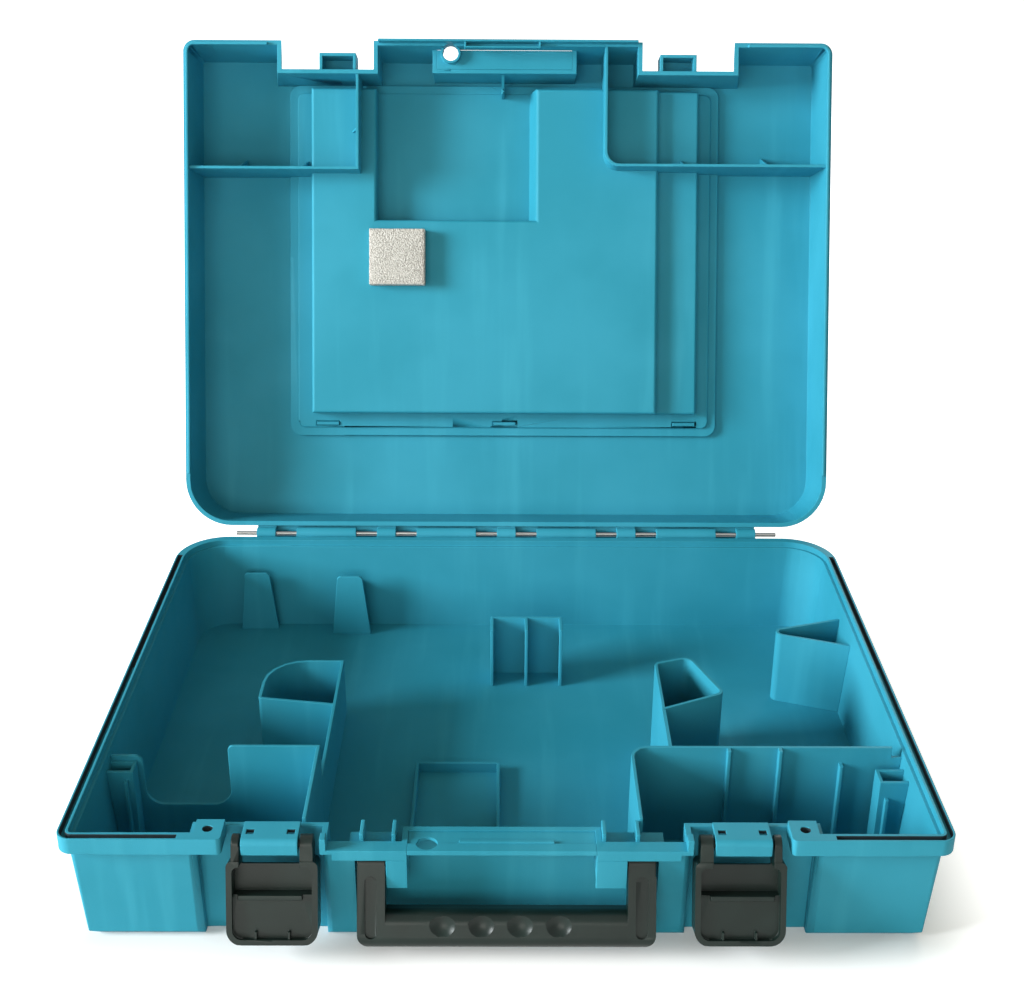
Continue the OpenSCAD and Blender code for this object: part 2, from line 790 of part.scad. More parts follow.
// Triangular plate that stiffens a divider: it reaches towards -Y from the divider's face
module gusset(x, y) {
    thick = 1.4;
    translate([x + thick / 2, y, 0]) rotate([0, -90, 0]) linear_extrude(thick)
        polygon([[rim_z + 6, rib_t / 2], [lid_floor, rib_t / 2], [lid_floor, -gusset_reach], [rim_z + 6, -eps]]);
}

module lid_left_divider() {
    x = left_divider_x;
    color(teal) opened_lid() intersection() {
        divider_room();
        union() {
            box(-side_x, x, divider_y - rib_t, divider_y, rim_z + 0.5, lid_floor);
            box(x - rib_t, x, lid_channel_y + wall, divider_y, rim_z + 0.5, lid_floor);
            gusset(83.5 - side_x, divider_y - rib_t);
            gusset(38 - side_x, divider_y - rib_t);
            translate([x - rib_t, divider_y - 30, 0]) rotate([0, 0, -90]) gusset(0, 0);
        }
    }
}

module lid_right_divider() {
    x = right_divider_x;
    y = divider_y - 3;
    r = divider_r;
    color(teal) opened_lid() intersection() {
        divider_room();
        union() {
            translate([0, 0, rim_z + 0.5]) linear_extrude(lid_h) {
                translate([x + r, y - rib_t]) square([side_x - x - r, rib_t]);
                translate([x, front_y + wall]) square([rib_t, y - r - front_y - wall]);
                translate([x + r, y - r]) intersection() {
                    difference() {
                        circle(r = r);
                        circle(r = r - rib_t);
                    }
                    translate([-r, 0]) square([r, r]);
                }
            }
            gusset(side_x - 103.5, y - rib_t);
            gusset(side_x - 43, y - rib_t);
        }
    }
}

// Box shaped loop that the latch's hook closes over
module keeper_loop() {
    x0 = bracket_x - loop_w / 2;
    z0 = rim_z + loop_low;
    color(teal) opened_lid() difference() {
        box(x0, x0 + loop_w, lid_channel_y - loop_out, lid_channel_y, z0, z0 + loop_h);
        box(x0 + loop_t, x0 + loop_w - loop_t, lid_channel_y - loop_out + loop_t, lid_channel_y + 1,
            z0 - 1, z0 + loop_h - loop_t);
    }
}

module lid_hinge_knuckles() {
    web = 2.6;
    color(teal) opened_lid() difference() {
        union() for (i = [-2 : 2]) {
            knuckle_tube(i * knuckle_pitch, lid_knuckle_w);
            box(i * knuckle_pitch - lid_knuckle_w / 2, i * knuckle_pitch + lid_knuckle_w / 2,
                rear_y - 0.2, hinge_y, rim_z + knuckle_r - web, rim_z + knuckle_r - 0.4);
        }
        pin_bore(pin_play);
        hull() {
            plan_slab(0, rim_z);
            plan_slab(lid_taper - 0.5, lid_top - edge);
        }
        box(-case_w, case_w, rear_y - wall, hinge_y + 2 * hood_out, hood_z, lid_top);
    }
}

// Cover plate that clips into the rebate of the lid's frame
module lid_outer_panel() {
    gap = 0.3;
    inset = skin + gap;
    foot_t = 2;
    tab_out = 1.2;
    color(teal) opened_lid() {
        difference() {
            round_box(frame_x0 + inset, frame_x1 - inset, frame_y0 + inset, frame_y1 - inset, rebate_z, lid_top, 6);
            round_box(frame_x0 + inset + foot_t, frame_x1 - inset - foot_t, frame_y0 + inset + foot_t,
                      frame_y1 - inset - foot_t, rebate_z - 1, lid_top - panel_t, 4);
        }
        for (x = clip_xs)
            box(x - clip_w / 2 + gap, x + clip_w / 2 - gap, clip_y - clip_t / 2 + gap, clip_y + clip_t / 2 - gap,
                frame_z - tab_out, lid_top - panel_t);
    }
}

module foam_pad() {
    color(foam_grey) opened_lid()
        box(foam_x - foam_side / 2, foam_x + foam_side / 2, foam_y - foam_side / 2, foam_y + foam_side / 2,
            block_z - foam_t, block_z);
}

// Outline of a latch seen from the front: shoulders near the pivot, round corners at the far end
module latch_outline(inset, start) {
    half = latch_w / 2 - inset;
    far = latch_len - inset;
    far_r = 8 - inset;
    near_r = 3;
    translate([latch_x, 0]) {
        translate([-half, start + near_r]) square([2 * half, far - far_r - start - near_r]);
        translate([-half + near_r, start]) square([2 * (half - near_r), near_r + eps]);
        translate([-half + far_r, far - far_r - eps]) square([2 * (half - far_r), far_r + eps]);
        for (side = [-1, 1]) {
            translate([side * (half - near_r), start + near_r]) circle(r = near_r);
            translate([side * (half - far_r), far - far_r]) circle(r = far_r);
        }
    }
}

// Extrudes a front view through the latch, from the outside to the inside
module through(out, in) {
    rotate([90, 0, 0]) translate([0, 0, -in]) linear_extrude(out + in) children();
}

// Right latch, drawn closed round its pivot and then swung open
module latch() {
    x0 = latch_x - latch_w / 2 + shoulder;
    x1 = latch_x + latch_w / 2 - shoulder;
    bracket_gap = 1;
    inner_arm = bracket_x - bracket_w / 2 - bracket_gap;
    outer_arm = bracket_x + bracket_w / 2 + bracket_gap;
    arm_start = 8;
    plate_start = 12;
    pad_in = 2;
    root_r = 5;
    color(black) translate([0, latch_y, latch_z]) rotate([latch_open, 0, 0]) {
        difference() {
            through(face_out, side_in) latch_outline(0, arm_start);
            through(face_out - face_t, side_in + 1) latch_outline(side_t, arm_start + side_t);
            box(inner_arm, outer_arm, -face_out - 1, side_in + 1, -root_r, plate_start);
        }
        for (ends = [[x0, inner_arm], [outer_arm, x1]]) {
            box(ends[0], ends[1], -root_r, root_r, 0, arm_start + side_t);
            translate([ends[0], 0, 0]) rotate([0, 90, 0]) cylinder(h = ends[1] - ends[0], r = root_r);
        }
        translate([inner_arm - 1, 0, 0]) rotate([0, 90, 0]) cylinder(h = outer_arm - inner_arm + 2, d = bar_d);
        intersection() {
            through(face_out, side_in) latch_outline(side_t - eps, arm_start);
            box(x0, x1, -face_out + face_t, pad_in, hook_u, latch_len);
        }
        box(bracket_x - hook_w / 2, bracket_x + hook_w / 2, -face_out + face_t, hook_in, hook_u, hook_u + hook_t);
        for (x = [latch_x - 8.5, latch_x + 8.5])
            box(x - 0.6, x + 0.6, pad_in, side_in - 1, latch_len - 7, latch_len - side_t);
    }
}

// Handle, drawn hanging round its pivot and then leaned out
module handle() {
    arm_back = 5;
    corner_r = 8;
    bar_r = 7;
    groove_half = 3.2;
    groove_d = 1.6;
    scoop_r = 10;
    scoop_in = 2.6;
    scoop_z = 13.5 - handle_len;
    grip_front = -arm_r;
    color(black) translate([0, handle_y, handle_z]) rotate([-handle_lean, 0, 0]) {
        difference() {
            intersection() {
                union() {
                    mirrored_pair() {
                        box(arm_out - arm_w, arm_out, -arm_r, arm_back, bar_r - handle_len, 0);
                        translate([arm_out - arm_w, 0, 0]) rotate([0, 90, 0]) cylinder(h = arm_w, r = arm_r);
                    }
                    rotate([90, 0, 90]) translate([0, 0, -arm_out])
                        round_box(grip_front, grip_back, -handle_len, grip_h - handle_len, 0, 2 * arm_out, bar_r);
                }
                rotate([90, 0, 0]) translate([0, 0, -2 * grip_back]) linear_extrude(4 * grip_back) {
                    translate([-arm_out, corner_r - handle_len]) square([handle_w, handle_len + corner_r]);
                    translate([corner_r - arm_out, -handle_len]) square([handle_w - 2 * corner_r, handle_len]);
                    for (side = [-1, 1]) translate([side * (arm_out - corner_r), corner_r - handle_len])
                        circle(r = corner_r);
                }
            }
            mirrored_pair() translate([arm_out - arm_w / 2, -arm_r + groove_d, 0]) rotate([90, 0, 0])
                linear_extrude(2 * groove_d) {
                    translate([-groove_half, 9 - handle_len]) square([2 * groove_half, handle_len - 18]);
                    for (z = [9 - handle_len, -9]) translate([0, z]) circle(r = groove_half);
                }
            for (x = [-33, -13, 7, 27]) translate([x, grip_front - scoop_r + scoop_in, scoop_z]) sphere(r = scoop_r);
        }
        translate([hand_right + 1, 0, 0]) rotate([0, 90, 0])
            cylinder(h = arm_out - arm_w - hand_right, d = handle_pin_d);
        translate([-hand_left - 1, 0, 0]) rotate([0, -90, 0])
            cylinder(h = arm_out - arm_w - hand_left, d = handle_pin_d);
    }
}

base_shell();
hand_ledge();
mirror([1, 0, 0]) handle_mount(hand_left);  // handle_mount_left
handle_mount(hand_right);  // handle_mount_right
mirror([1, 0, 0]) latch_bracket();  // latch_bracket_left
latch_bracket();  // latch_bracket_right
base_hinge_knuckles();
hinge_pin();
left_cradle();
left_post();
left_rear_pocket();
rear_tab_outer();
rear_tab_inner();
rib_stand();
right_pocket();
right_compartment();
right_post();
wall_pocket();
tray_frame();
front_ribs();
lid_shell();
lid_block();
lid_lock_plate();
lid_left_divider();
lid_right_divider();
mirror([1, 0, 0]) keeper_loop();  // keeper_loop_left
keeper_loop();  // keeper_loop_right
lid_hinge_knuckles();
lid_outer_panel();
foam_pad();
mirror([1, 0, 0]) latch();  // latch_left
latch();  // latch_right
handle();
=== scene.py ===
# %% [markdown]
# # A hard tool case, dressed for its portrait
# The case arrives from the CAD model as a set of named pieces: a base, a lid, two latches, a
# handle, a hinge pin and a foam pad. Each piece already has its true size and place. This
# notebook gives the pieces their moulded edges, surfaces and light.

import json
import math

import bmesh
import bpy
from mathutils import Matrix, Vector
from mathutils.bvhtree import BVHTree


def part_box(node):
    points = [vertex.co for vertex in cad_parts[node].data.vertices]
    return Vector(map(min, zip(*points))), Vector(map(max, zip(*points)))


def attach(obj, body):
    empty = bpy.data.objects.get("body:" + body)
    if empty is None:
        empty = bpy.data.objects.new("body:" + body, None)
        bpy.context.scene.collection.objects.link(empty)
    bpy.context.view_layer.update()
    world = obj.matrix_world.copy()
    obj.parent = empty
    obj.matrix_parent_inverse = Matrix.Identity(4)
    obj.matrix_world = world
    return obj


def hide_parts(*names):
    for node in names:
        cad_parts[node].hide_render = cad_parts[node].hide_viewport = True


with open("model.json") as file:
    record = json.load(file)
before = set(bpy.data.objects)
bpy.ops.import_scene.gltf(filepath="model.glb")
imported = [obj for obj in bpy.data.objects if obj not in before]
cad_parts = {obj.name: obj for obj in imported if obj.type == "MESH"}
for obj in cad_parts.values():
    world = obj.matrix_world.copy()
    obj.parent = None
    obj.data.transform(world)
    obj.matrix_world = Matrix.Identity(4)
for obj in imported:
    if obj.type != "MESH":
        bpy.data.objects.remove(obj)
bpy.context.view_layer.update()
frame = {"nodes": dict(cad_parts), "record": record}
NODES = frame["nodes"]
MM = 0.001
print("pieces in the frame:", len(NODES))

# %% [markdown]
# ## Camera
# The photograph looks down on the open case from the front. A long lens keeps the walls close to
# parallel. The camera is aimed with its three own directions, which are worked out from how far
# it looks down, how far it turns and how far it leans.

# %% Place the camera
IMAGE_WIDTH = 1024
FOCAL_PIXELS = 1494.5
SENSOR = 36.0
NEAREST_SEEN = 0.05
CAMERA_PLACE = Vector((-2.96, -785.92, 548.43)) * MM
LOOK_DOWN = math.radians(24.816)
TURN = math.radians(0.406)
LEAN = math.radians(-0.392)


def aimed_camera():
    forward = Vector((math.sin(TURN) * math.cos(LOOK_DOWN), math.cos(TURN) * math.cos(LOOK_DOWN),
                      -math.sin(LOOK_DOWN)))
    level_right = Vector((math.cos(TURN), -math.sin(TURN), 0))
    level_down = forward.cross(level_right)
    right = level_right * math.cos(LEAN) + level_down * math.sin(LEAN)
    down = level_down * math.cos(LEAN) - level_right * math.sin(LEAN)
    data = bpy.data.cameras.new("portrait_camera")
    data.sensor_width = SENSOR
    data.lens = FOCAL_PIXELS * SENSOR / IMAGE_WIDTH
    data.clip_start = NEAREST_SEEN
    camera = bpy.data.objects.new("portrait_camera", data)
    bpy.context.scene.collection.objects.link(camera)
    turn = Matrix((right, -down, -forward)).transposed().to_4x4()
    camera.matrix_world = Matrix.Translation(CAMERA_PLACE) @ turn
    return camera


bpy.context.scene.camera = aimed_camera()
print("lens:", round(bpy.context.scene.camera.data.lens, 2), "mm")

# %% [markdown]
# ## Writing materials as sums
# A material is a small calculation that runs at every point of a surface. The first class wraps
# one output of a node, so that a plain Python expression such as `1 - mask * 0.5` adds the Math
# nodes that compute it. The second one adds every other node, for a material or for the world.
# Colours and places don't fit in a Math node, so they go through Mix and Vector Math.

# %% A network of nodes that is written as maths
SEEING_RAYS = ("Is Camera Ray", "Is Glossy Ray", "Is Transmission Ray")


class Value:
    """One output socket of a node, with the usual operators."""

    def __init__(self, network, socket):
        self.network = network
        self.socket = socket

    def maths(self, operation, other, clamp=False):
        settings = {"operation": operation, "use_clamp": clamp}
        return self.network.node("ShaderNodeMath", settings, (self, other))

    def __add__(self, other):
        return self.maths("ADD", other)

    __radd__ = __add__

    def __mul__(self, other):
        return self.maths("MULTIPLY", other)

    __rmul__ = __mul__

    def __sub__(self, other):
        return self.maths("SUBTRACT", other)

    def __rsub__(self, other):
        return (self * -1) + other

    def clamped(self):
        """The value, kept between 0 and 1."""
        return self.maths("ADD", 0.0, clamp=True)

    def ramp(self, low, high):
        """0 below low, 1 above high, and smooth between them."""
        return self.network.node("ShaderNodeMapRange", {"interpolation_type": "SMOOTHSTEP"},
                                 {"Value": self, "From Min": low, "From Max": high})


class Network:
    """The nodes of one material, or of the world."""

    def __init__(self, owner):
        owner.use_nodes = True
        self.tree = owner.node_tree

    def link(self, value, socket):
        """Join a value to a socket, or set the socket to a plain number or colour."""
        if isinstance(value, Value):
            self.tree.links.new(value.socket, socket)
        else:
            socket.default_value = value

    def node(self, kind, settings=None, inputs=None, output=0):
        """A new node: its type, its settings, what goes into its sockets, and the output to use."""
        made = self.tree.nodes.new(kind)
        for name, value in (settings or {}).items():
            setattr(made, name, value)
        items = inputs.items() if isinstance(inputs, dict) else enumerate(inputs or ())
        for key, value in items:
            self.link(value, made.inputs[key])
        return Value(self, made.outputs[output])

    def mixed(self, factor, first, second):
        """A colour between two others."""
        return self.node("ShaderNodeMix", {"data_type": "RGBA"},
                         {"Factor": factor, "A": first, "B": second}, output="Result")

    def vector(self, operation, *places, output="Vector"):
        return self.node("ShaderNodeVectorMath", {"operation": operation}, places, output)

    def seen(self):
        """1 for the rays that show a surface, and 0 for the rays that carry light."""
        camera, glossy, through = (self.node("ShaderNodeLightPath", output=name) for name in SEEING_RAYS)
        return (camera + glossy + through).clamped()


class Finish(Network):
    """A material with one Principled surface."""

    def __init__(self, name):
        self.material = bpy.data.materials.new(name)
        super().__init__(self.material)
        self.shader = self.tree.nodes["Principled BSDF"]
        self.place = self.node("ShaderNodeTexCoord", output="Object")

    def noise(self, scale, detail, place=None):
        """Soft patches, about this many to a metre."""
        return self.node("ShaderNodeTexNoise", None,
                         {"Vector": place or self.place, "Scale": scale, "Detail": detail})

    def stretched(self, factors):
        """The place, scaled along each axis, for a pattern that runs one way."""
        return self.vector("MULTIPLY", self.place, factors)

    def bump(self, height, distance, strength):
        return self.node("ShaderNodeBump", None,
                         {"Height": height, "Distance": distance, "Strength": strength}, output="Normal")

    def set(self, **sockets):
        """Fill sockets of the surface. A space in a socket's name is written as _ here."""
        for name, value in sockets.items():
            self.link(value, self.shader.inputs[name.replace("_", " ")])


def linear(red, green, blue):
    """A screen colour, 0 to 255, as the linear colour that a shader takes."""
    parts = [c / 255 for c in (red, green, blue)]
    return tuple(c / 12.92 if c <= 0.04045 else ((c + 0.055) / 1.055) ** 2.4 for c in parts) + (1.0,)


print("half of the screen's white is", round(linear(128, 128, 128)[0], 3), "of its light")

# %% [markdown]
# ## Teal moulded plastic
# The base and the lid are polypropylene. Its skin is satin, with a very fine grain from the
# mould, and its colour drifts slightly where the melt cooled at different speeds. Noise gives all
# of it: wide clouds for the colour, a fine grain for the sheen, and a noise that is squeezed
# across the case for the faint streaks in which the melt flowed.

# %% Teal plastic
TEAL = linear(49, 148, 173)
TEAL_DEEP = linear(38, 138, 161)
TEAL_PALE = linear(62, 162, 186)
CLOUD_SCALE, SWIRL_SCALE, GRAIN_SCALE = 9.0, 60.0, 1800.0
FLOW_SQUEEZE = (60.0, 5.0, 5.0)
TEAL_GRAIN_DEPTH = 0.12 * MM


def teal_plastic():
    finish = Finish("teal_plastic")
    cloud = finish.noise(CLOUD_SCALE, 4.0).ramp(0.35, 0.68)
    grain = finish.noise(GRAIN_SCALE, 2.0)
    swirl = finish.noise(SWIRL_SCALE, 3.0)
    flow = finish.noise(1.0, 3.0, finish.stretched(FLOW_SQUEEZE)).ramp(0.5, 0.8)
    colour = finish.mixed(flow * 0.5, finish.mixed(cloud, TEAL_DEEP, TEAL), TEAL_PALE)
    roughness = 0.53 + swirl * 0.12 + grain * 0.06
    finish.set(Base_Color=colour, Roughness=roughness, Specular_IOR_Level=0.24)
    finish.set(Normal=finish.bump(grain + swirl * 0.6, TEAL_GRAIN_DEPTH, 0.5))
    return finish.material


TEAL_FINISH = teal_plastic()
print("teal plastic:", len(TEAL_FINISH.node_tree.nodes), "nodes")

# %% [markdown]
# ## Black moulded plastic
# The latches and the handle are a tougher black plastic with a slightly brighter sheen. Black is
# never quite black on the screen: a dark grey with a touch of green keeps its shape readable.

# %% Black plastic
BLACK_DEEP = linear(12, 26, 22)
BLACK_PALE = linear(19, 34, 30)
BLACK_CLOUD_SCALE, BLACK_GRAIN_SCALE = 35.0, 2200.0
BLACK_GRAIN_DEPTH = 0.1 * MM


def black_plastic():
    finish = Finish("black_plastic")
    grain = finish.noise(BLACK_GRAIN_SCALE, 2.0)
    cloud = finish.noise(BLACK_CLOUD_SCALE, 4.0).ramp(0.4, 0.7)
    colour = finish.mixed(cloud, BLACK_DEEP, BLACK_PALE)
    finish.set(Base_Color=colour, Roughness=0.27 + grain * 0.12 + cloud * 0.06, Specular_IOR_Level=0.27)
    finish.set(Normal=finish.bump(grain, BLACK_GRAIN_DEPTH, 0.4))
    return finish.material


BLACK_FINISH = black_plastic()
print("black plastic:", len(BLACK_FINISH.node_tree.nodes), "nodes")

# %% [markdown]
# ## Steel hinge pin
# The lid turns on one straight steel wire, which shows between the knuckles. Drawing the wire
# through a die leaves fine lines along it. A noise that is stretched along the wire and squeezed
# across it draws them.

# %% Steel wire
STEEL_DARK = linear(118, 118, 116)
STEEL_BRIGHT = linear(176, 176, 173)
DRAWN_LINE_SCALE = 300.0
ALONG_THE_WIRE = (0.15, 6.0, 6.0)


def steel_wire():
    finish = Finish("steel_wire")
    lines = finish.noise(DRAWN_LINE_SCALE, 2.0, finish.stretched(ALONG_THE_WIRE))
    colour = finish.mixed(lines, STEEL_DARK, STEEL_BRIGHT)
    finish.set(Base_Color=colour, Metallic=1.0, Roughness=0.24 + lines * 0.2)
    return finish.material


STEEL_FINISH = steel_wire()
print("steel wire:", len(STEEL_FINISH.node_tree.nodes), "nodes")

# %% [markdown]
# ## Foam
# The pad in the lid is open-cell foam, pale and quite matt. The larger pits are real geometry and
# come later. The material adds what is too small for that: grey specks of painted shade, where a
# cut cell looks dark, and a bump from a cell texture.

# %% Foam grain
FOAM_SHADE_SPECK = linear(146, 142, 136)
FOAM_PALE = linear(202, 198, 192)
FOAM_CELL_SCALE, FOAM_SPECK_SCALE = 900.0, 1100.0
FOAM_CELL_DEPTH = 0.6 * MM


def foam_grain():
    finish = Finish("foam_grain")
    cells = finish.node("ShaderNodeTexVoronoi", {"feature": "F1"},
                        {"Vector": finish.place, "Scale": FOAM_CELL_SCALE}, output="Distance")
    # Painted shade: the grey specks stand in for the shadow inside the cut cells.
    cell_shade_speck = finish.noise(FOAM_SPECK_SCALE, 3.0).ramp(0.30, 0.60)
    finish.set(Base_Color=finish.mixed(cell_shade_speck, FOAM_SHADE_SPECK, FOAM_PALE), Roughness=0.95)
    finish.set(Normal=finish.bump(cells, FOAM_CELL_DEPTH, 0.8))
    return finish.material


FOAM_FINISH = foam_grain()
print("foam grain:", len(FOAM_FINISH.node_tree.nodes), "nodes")

# %% [markdown]
# ## A finish for each piece
# The part's record gives every piece a slot with the name of its material. One table from slots
# to finishes is enough to dress all the pieces, and each new piece later takes its finish here.

# %% Dress the pieces
BY_SLOT = {"teal_plastic": TEAL_FINISH, "black_plastic": BLACK_FINISH,
           "steel": STEEL_FINISH, "foam": FOAM_FINISH}
SLOT_OF = {part["node"]: part["material_slot"] for part in frame["record"]["subparts"]}


def finish_with(obj, material):
    obj.data.materials.clear()
    obj.data.materials.append(material)


for name, node in NODES.items():
    finish_with(node, BY_SLOT[SLOT_OF[name]])
print("finishes:", len(BY_SLOT))

# %% [markdown]
# ## Moulded edges
# No moulded edge is perfectly sharp: plastic shrinks as it cools, and the mould itself is slightly
# rounded. Those small radii catch the light as thin bright lines, so they matter more than any
# texture. The CAD pieces have sharp edges. Each one is copied, its loose triangles are merged into
# clean faces, and a Bevel modifier rounds its sharp edges. The copy then stands in for the CAD
# piece and rides on the same body.
#
# The lid is modelled open. Its own directions are slanted there, so a place on the lid is easier
# to name on the closed case, where everything is level. One matrix turns the lid shut about its
# hinge, and its inverse turns it open again.

# %% Places on the closed lid
LID_AXIS = Vector((0, 177.5, 70.5)) * MM
LID_OPEN = math.radians(112)
CLOSING = Matrix.Translation(LID_AXIS) @ Matrix.Rotation(LID_OPEN, 4, "X") @ Matrix.Translation(-LID_AXIS)
OPENING = CLOSING.inverted()
BODY_OF = {node: body for body, nodes in frame["record"]["behaviour"]["bodies"].items() for node in nodes}


def closed_place(point):
    """A point of the open lid, moved to where it lies when the lid is closed, in millimetres."""
    return (CLOSING @ point) / MM


def closed_box(name):
    places = [closed_place(vertex.co) for vertex in NODES[name].data.vertices]
    return (Vector([min(p[axis] for p in places) for axis in range(3)]),
            Vector([max(p[axis] for p in places) for axis in range(3)]))


lid_low, lid_high = closed_box("lid_shell")
print("the closed lid reaches from", round(lid_low.z, 1), "to", round(lid_high.z, 1), "mm above the table")

# %% [markdown]
# ## Clean faces from loose triangles
# A CAD piece arrives as triangles. A bevel needs whole flat faces, so the edges inside each flat
# region are dissolved. A face of Blender can't have a hole in it. Each piece is therefore cut
# through first, at places where a cut parts a ring round a hole, and the cut edges are marked as
# seams, which aren't dissolved. A region that still has a hole keeps its triangles.

# %% Find the edges inside flat regions
FLAT = math.radians(0.5)


def flat_region(start, seen):
    region, waiting = {start}, [start]
    seen.add(start)
    while waiting:
        face = waiting.pop()
        for edge in face.edges:
            if edge.seam or not edge.is_manifold:
                continue
            for other in edge.link_faces:
                if other not in seen and other.normal.angle(start.normal, 1) < FLAT:
                    seen.add(other)
                    region.add(other)
                    waiting.append(other)
    return region


def rim_loops(rim):
    """How many closed loops the rim edges form, or 0 where they meet in a knot."""
    at = {}
    for edge in rim:
        for vertex in edge.verts:
            at.setdefault(vertex, []).append(edge)
    if any(len(edges) != 2 for edges in at.values()):
        return 0
    left, loops = set(rim), 0
    while left:
        loops += 1
        waiting = [left.pop()]
        while waiting:
            for vertex in waiting.pop().verts:
                for edge in at[vertex]:
                    if edge in left:
                        left.remove(edge)
                        waiting.append(edge)
    return loops


def select_inner_edges(mesh):
    """Select the edges inside each flat region without a hole, and count the regions that have one."""
    seen, kept = set(), 0
    for start in list(mesh.faces):
        if start in seen:
            continue
        region = flat_region(start, seen)
        edges = {edge for face in region for edge in face.edges}
        rim = [edge for edge in edges if sum(face in region for face in edge.link_faces) == 1]
        if rim_loops(rim) != 1:
            kept += 1
            continue
        for edge in edges.difference(rim):
            edge.select_set(True)
    return kept


# %% Copy a CAD piece and merge its triangles
SAME_POINT = 0.01
MERGE = {"right_pocket": 0.25, "left_rear_pocket": 0.25}


def alone(piece):
    """Only this piece is selected and active."""
    bpy.ops.object.select_all(action="DESELECT")
    piece.select_set(True)
    bpy.context.view_layer.objects.active = piece


def merged_copy(name, cuts):
    """A copy with whole flat faces. The cuts are planes, each a place and a direction."""
    piece = bpy.data.objects.new(name + "_moulded", NODES[name].data.copy())
    bpy.context.scene.collection.objects.link(piece)
    alone(piece)
    bpy.ops.object.mode_set(mode="EDIT")
    bpy.ops.mesh.select_all(action="SELECT")
    bpy.ops.mesh.remove_doubles(threshold=MERGE.get(name, SAME_POINT) * MM)
    for place, direction in cuts:
        bpy.ops.mesh.select_all(action="SELECT")
        bpy.ops.mesh.bisect(plane_co=place, plane_no=direction)
        bpy.ops.mesh.mark_seam(clear=False)
    bpy.ops.mesh.select_mode(type="EDGE")
    bpy.ops.mesh.select_all(action="DESELECT")
    mesh = bmesh.from_edit_mesh(piece.data)
    kept = select_inner_edges(mesh)
    bmesh.update_edit_mesh(piece.data)
    bpy.ops.mesh.dissolve_edges(use_verts=False)
    bpy.ops.object.mode_set(mode="OBJECT")
    if kept:
        print(name, "keeps", kept, "regions as triangles")
    return piece


# %% Cut and copy every piece
OWN_PIECES = {"foam_pad"}
CUTS = {
    "base_shell": (-210, -153.3, -121, -70, 70, 121, 153.3, 210),
    "base_hinge_knuckles": (-129, -43, 43, 129),
    "hand_ledge": (-41, 0),
    "latch_bracket_left": (-132.5, -109.5),
    "latch_bracket_right": (109.5, 132.5),
    "left_rear_pocket": (-130, -110),
    "right_pocket": (100, 120),
    "lid_shell": (-210, -121, -41, 60, 121, 210),
    "lid_block": (-120, -40, -12, 9, 60, 131),
    "lid_hinge_knuckles": (-172, -86, 86, 172),
    "lid_outer_panel": (-131.5, -1.5, 131.5),
    "latch_left": (-135, -105),
    "latch_right": (105, 135),
    "handle": (-70, 70, -33, -13, 7, 27),
}
MIDDLE_CUT = {"lid_block": -3.7}


def flat_cuts(name):
    """Cuts across X at the given places, and one each way through the middle of the piece."""
    low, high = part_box(name)
    middle = (low + high) / 2
    middle.x = MIDDLE_CUT.get(name, middle.x / MM) * MM
    along = (0, 1, 0)
    if BODY_OF[name] == "lid":
        along = OPENING.to_3x3() @ Vector(along)
    cuts = [((x * MM, 0, 0), (1, 0, 0)) for x in CUTS.get(name, ())]
    return cuts + [(middle, (1, 0, 0)), (middle, along)]


MOULDED = {}
for name in NODES:
    if name not in OWN_PIECES:
        MOULDED[name] = merged_copy(name, flat_cuts(name))
print("copies:", len(MOULDED), "faces:", sum(len(p.data.polygons) for p in MOULDED.values()))

# %% [markdown]
# ## The raised block in the lid
# The block holds the tool down when the case is closed. Its large face meets its sides in a full
# radius of about two millimetres, which shows as a soft band along its edges. These edges are
# chosen by their height on the closed case and rounded first, in edit mode. The small radius of
# all the other edges follows later.

# %% Round chosen edges by hand
ROUND_SIDES = 4


def round_edges(piece, chosen, radius):
    """Bevel in edit mode the edges that pass the test, and count them."""
    alone(piece)
    bpy.ops.object.mode_set(mode="EDIT")
    bpy.ops.mesh.select_mode(type="EDGE")
    bpy.ops.mesh.select_all(action="DESELECT")
    mesh = bmesh.from_edit_mesh(piece.data)
    picked = 0
    for edge in mesh.edges:
        if edge.is_manifold and chosen(edge):
            edge.select_set(True)
            picked += 1
    bmesh.update_edit_mesh(piece.data)
    if picked:
        bpy.ops.mesh.bevel(offset=radius * MM, segments=ROUND_SIDES, affect="EDGES", clamp_overlap=False)
    bpy.ops.object.mode_set(mode="OBJECT")
    return picked


# %% Round the block and its frame
BLOCK_Z, STEP_Z, FRAME_Z = 90.8, 98.8, 106.8
BLOCK_RADIUS, STEP_RADIUS, FRAME_RADIUS = 2.2, 1.8, 1.0
BLOCK_LEFT, BLOCK_RIGHT = -143, 110
BLOCK_FRONT, BLOCK_REAR = -150, 92
SAME_HEIGHT = 0.05
REAL_CORNER = 0.5


def near(value, target, tolerance):
    return abs(value - target) < tolerance


def corner_at(edge, height):
    """Whether an edge lies at this height of the closed case and its two faces meet in a corner."""
    level = all(near(closed_place(vertex.co).z, height, SAME_HEIGHT) for vertex in edge.verts)
    return level and edge.calc_face_angle(0) > REAL_CORNER


def block_edge(edge):
    ends = [closed_place(vertex.co) for vertex in edge.verts]
    inside = all(BLOCK_LEFT < p.x < BLOCK_RIGHT and BLOCK_FRONT < p.y < BLOCK_REAR for p in ends)
    return inside and corner_at(edge, BLOCK_Z)


def step_edge(edge):
    return corner_at(edge, STEP_Z)


def frame_edge(edge):
    return corner_at(edge, FRAME_Z) and edge.is_convex


print("block edges:", round_edges(MOULDED["lid_block"], block_edge, BLOCK_RADIUS))
print("step edges:", round_edges(MOULDED["lid_block"], step_edge, STEP_RADIUS))
print("frame edges:", round_edges(MOULDED["lid_block"], frame_edge, FRAME_RADIUS))

# %% [markdown]
# ## Larger corners on the base
# The seal bosses beside the latches are one with the rim: its front face runs on over them and
# turns round their corner. The front faces of the bosses are moved level with the rim, the
# doubled corners are merged, and the free corner is rounded. The corners of the left divider and
# of its post are rounded in the same way.

